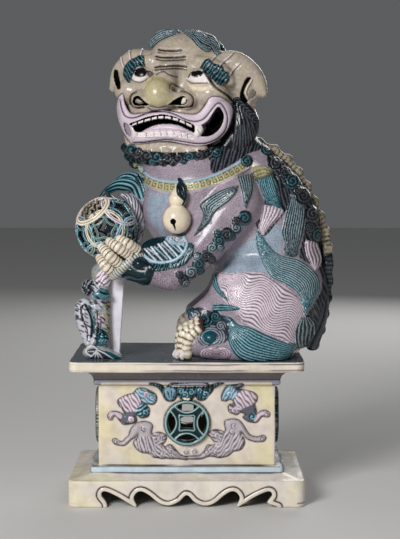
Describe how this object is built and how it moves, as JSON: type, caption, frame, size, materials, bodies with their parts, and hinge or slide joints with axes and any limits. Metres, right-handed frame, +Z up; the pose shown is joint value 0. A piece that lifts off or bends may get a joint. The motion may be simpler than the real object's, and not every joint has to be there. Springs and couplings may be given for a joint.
{
  "type": "porcelain guardian lion figure",
  "caption": "Glazed porcelain Buddhist lion seated on a pierced hollow plinth, head turned to the front, forepaws holding an openwork ball above a cub.",
  "frame": {"origin": "on the ground, below the middle of the bounding box", "axes": "+Z up, -X the way the lion's body faces, -Y the front, where its head is turned"},
  "size_m": [0.261, 0.1554, 0.4643],
  "materials": {
    "plinth_glaze": "glossy pale yellow enamel on biscuit porcelain",
    "lion_glaze": "glossy aubergine, green and cream enamels on biscuit porcelain",
    "ball_glaze": "glossy green, cream and pink enamels on biscuit porcelain"
  },
  "bodies": {
    "root": {"plinth": "plinth_glaze", "lion": "lion_glaze", "openwork_ball": "ball_glaze"}
  },
  "joints": []
}
